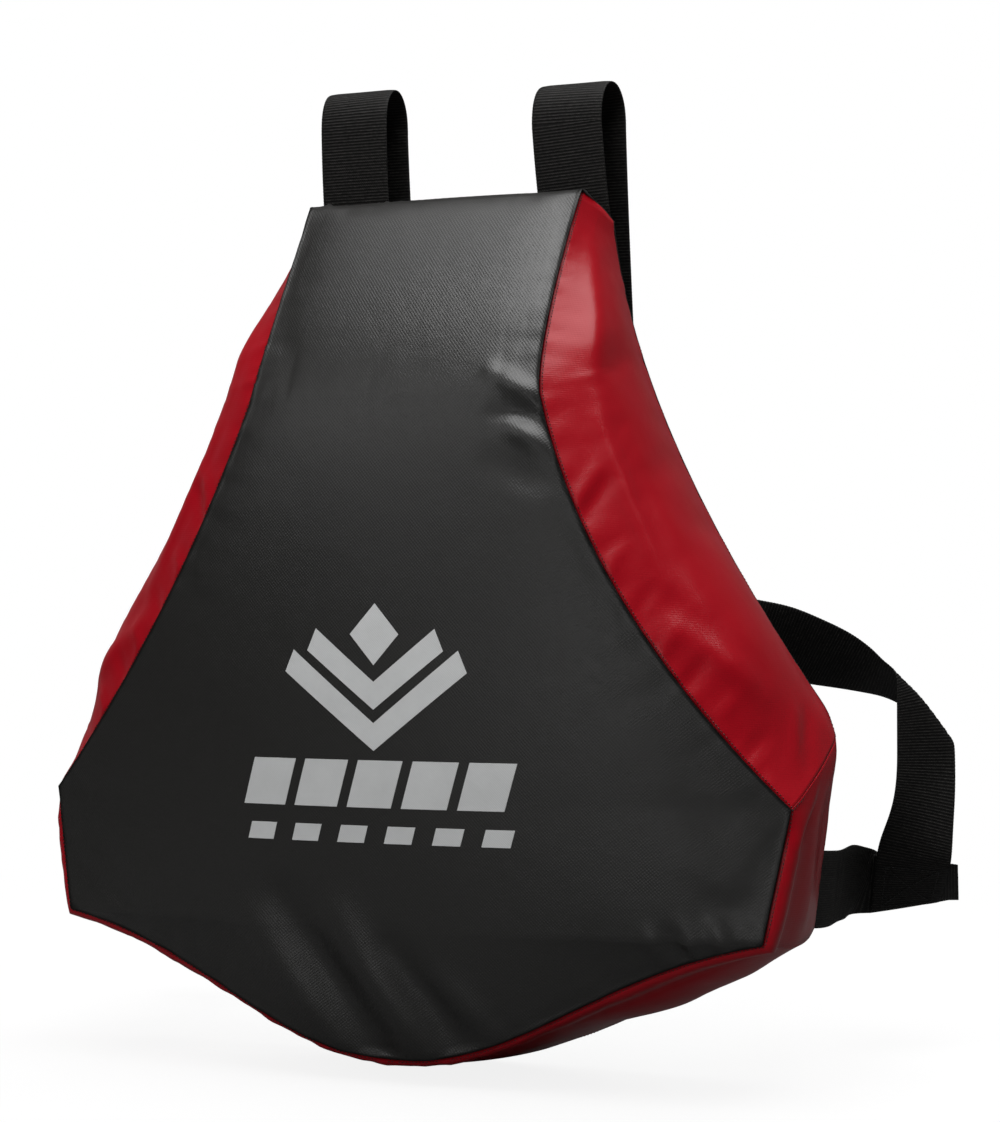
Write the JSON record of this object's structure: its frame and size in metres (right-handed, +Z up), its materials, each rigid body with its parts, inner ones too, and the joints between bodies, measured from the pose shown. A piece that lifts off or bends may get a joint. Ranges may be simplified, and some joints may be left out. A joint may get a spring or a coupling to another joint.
{
  "type": "wearable tackle bag",
  "caption": "Foam-filled tackle bag worn on the chest: a wedge-shaped pad in a sewn red and black cover, with looped shoulder straps and a folded back belt.",
  "frame": {"origin": "on the flat back panel where it rests on the wearer's chest, in the middle of its width", "axes": "+X to the right of someone who looks at the front panel, +Y from the pad to the wearer, +Z up"},
  "size_m": [0.5952, 0.3403, 0.6594],
  "materials": {
    "black_cover": "black PVC-coated fabric, satin, fine embossed weave",
    "red_cover": "red PVC-coated fabric, glossy, fine ribs",
    "strike_foam": "cut foam",
    "body_foam": "cut foam",
    "zip_tape": "woven tape",
    "zip_plastic": "moulded plastic",
    "zip_metal": "dull nickel plate",
    "webbing": "woven polypropylene webbing with fine cross ribs",
    "thread": "bonded sewing thread"
  },
  "bodies": {
    "pad": {"front_panel": "black_cover", "back_panel": "black_cover", "left_side_gusset": "red_cover", "right_side_gusset": "red_cover", "lower_gusset": "red_cover", "strike_foam": "strike_foam", "body_foam": "body_foam", "zip_tape_upper": "zip_tape", "zip_tape_lower": "zip_tape", "zip_teeth_upper": "zip_plastic", "zip_teeth_lower": "zip_plastic", "zip_stop_left": "zip_plastic", "zip_stop_right": "zip_plastic", "left_side_tab": "webbing", "right_side_tab": "webbing"},
    "harness": {"left_shoulder_strap": "webbing", "right_shoulder_strap": "webbing", "back_belt": "webbing", "left_belt_stitch": "thread", "right_belt_stitch": "thread", "left_tab_stitch": "thread", "right_tab_stitch": "thread"},
    "slider": {"zip_slider": "zip_metal"},
    "pull": {"zip_pull": "zip_metal"}
  },
  "joints": [
    {"name": "harness_swing", "type": "hinge", "parent": "pad", "child": "harness", "pos_m": [0, 0.0013, 0.2526], "axis": [1, 0, 0], "range_deg": [-10, 4], "deforming": ["left_side_tab", "right_side_tab"]},
    {"name": "zip_slide", "type": "slide", "parent": "pad", "child": "slider", "axis": [1, 0, 0], "range_m": [0, 0.281]},
    {"name": "zip_pull_swing", "type": "hinge", "parent": "slider", "child": "pull", "pos_m": [-0.1409, 0.0044, -0.165], "axis": [0, 0, 1], "range_deg": [0, 165]}
  ]
}
